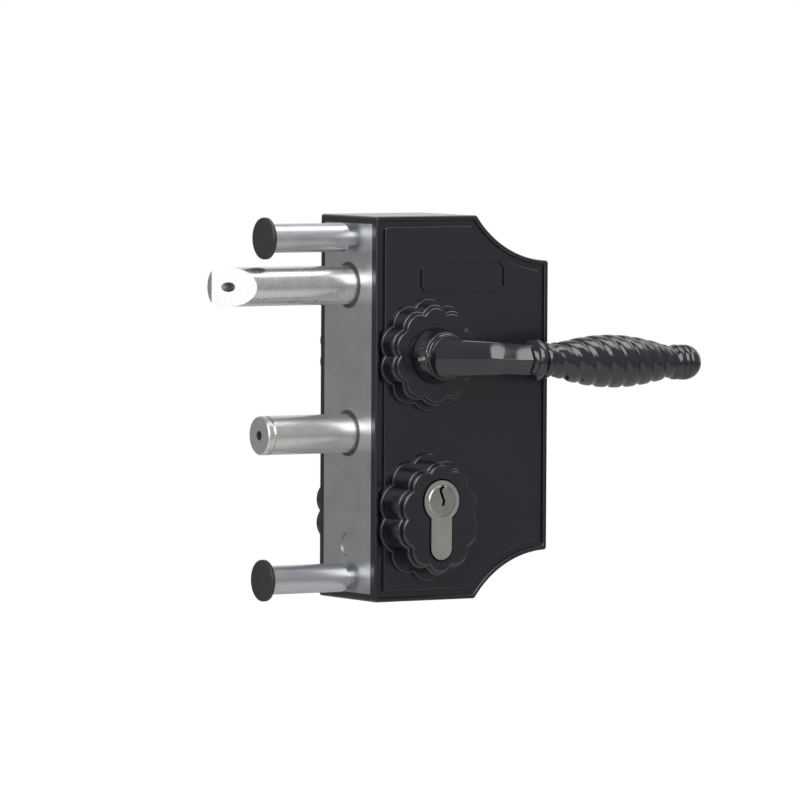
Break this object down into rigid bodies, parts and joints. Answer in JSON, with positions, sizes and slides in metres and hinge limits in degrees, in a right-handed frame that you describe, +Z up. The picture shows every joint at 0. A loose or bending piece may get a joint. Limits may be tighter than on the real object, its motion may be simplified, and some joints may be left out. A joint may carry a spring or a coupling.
{
  "type": "gate lock",
  "caption": "Surface-mounted gate lock for a box-section stile: hollow-cornered case, lever handles, bevelled latch bolt, deadbolt worked by a profile cylinder.",
  "frame": {"origin": "centre of the flat side face that bears on the stile", "axes": "+X from the stile towards the free edge of the case, +Y away from the front, +Z up"},
  "size_m": [0.2084, 0.1194, 0.16],
  "materials": {
    "black_casting": "black gloss powder coat on cast aluminium",
    "black_handle": "black gloss powder coat on cast aluminium",
    "stainless": "turned stainless steel",
    "zinc_steel": "bright zinc plate",
    "bearing_plastic": "black acetal",
    "black_cap": "moulded black plastic",
    "nickel_brass": "satin nickel plate on brass",
    "spring_steel": "spring steel"
  },
  "bodies": {
    "case": {"front_cover": "black_casting", "rear_cover": "black_casting", "cover_screws": "stainless", "front_handle_rosette": "black_casting", "rear_handle_rosette": "black_casting", "front_cylinder_rosette": "black_casting", "rear_cylinder_rosette": "black_casting", "front_rosette_screws": "zinc_steel", "rear_rosette_screws": "zinc_steel", "front_handle_bush": "bearing_plastic", "rear_handle_bush": "bearing_plastic", "side_plate": "zinc_steel", "latch_bush": "bearing_plastic", "deadbolt_bush": "bearing_plastic", "fixing_studs": "zinc_steel", "barrel_nuts": "zinc_steel", "stile_caps": "black_cap", "front_inner_plate": "zinc_steel", "rear_inner_plate": "zinc_steel", "plate_pillars": "zinc_steel", "plate_screws": "zinc_steel", "latch_spring": "spring_steel", "spring_seat": "bearing_plastic", "cylinder_body": "nickel_brass", "cylinder_screw": "zinc_steel", "leaf_spring": "spring_steel"},
    "handle": {"front_handle": "black_handle", "rear_handle": "black_handle", "spindle": "zinc_steel", "follower": "zinc_steel", "drive_pin": "zinc_steel", "front_grub_screw": "stainless", "rear_grub_screw": "stainless"},
    "latch": {"latch_bolt": "stainless", "latch_rod": "zinc_steel", "latch_lock_nut": "zinc_steel", "latch_carriage": "zinc_steel", "latch_guide_pin": "zinc_steel"},
    "cylinder": {"front_plug": "nickel_brass", "rear_plug": "nickel_brass", "cylinder_cam": "nickel_brass"},
    "deadbolt": {"deadbolt": "stainless", "deadbolt_rod": "zinc_steel", "deadbolt_lock_nut": "zinc_steel", "deadbolt_carriage": "zinc_steel", "deadbolt_guide_pin": "zinc_steel"}
  },
  "joints": [
    {"name": "handle_turn", "type": "hinge", "parent": "case", "child": "handle", "pos_m": [0.0245, 0, 0.0223], "axis": [0, 1, 0], "range_deg": [0, 45], "stiffness_Nm_per_rad": 1, "springref_deg": -17.19},
    {"name": "latch_slide", "type": "slide", "parent": "case", "child": "latch", "axis": [1, 0, 0], "range_m": [0, 0.0176], "stiffness_N_per_m": 500, "springref_m": -0.01, "deforming": ["latch_spring"]},
    {"name": "cylinder_turn", "type": "hinge", "parent": "case", "child": "cylinder", "pos_m": [0.0245, 0, -0.0377], "axis": [0, -1, 0], "range_deg": [0, 100.5]},
    {"name": "deadbolt_slide", "type": "slide", "parent": "case", "child": "deadbolt", "axis": [-1, 0, 0], "range_m": [0, 0.02]}
  ],
  "couplings": [
    {"joint": "latch_slide", "follows": "handle_turn", "m_per_rad": 0.022282},
    {"joint": "cylinder_turn", "follows": "deadbolt_slide", "rad_per_m": 87.266}
  ]
}
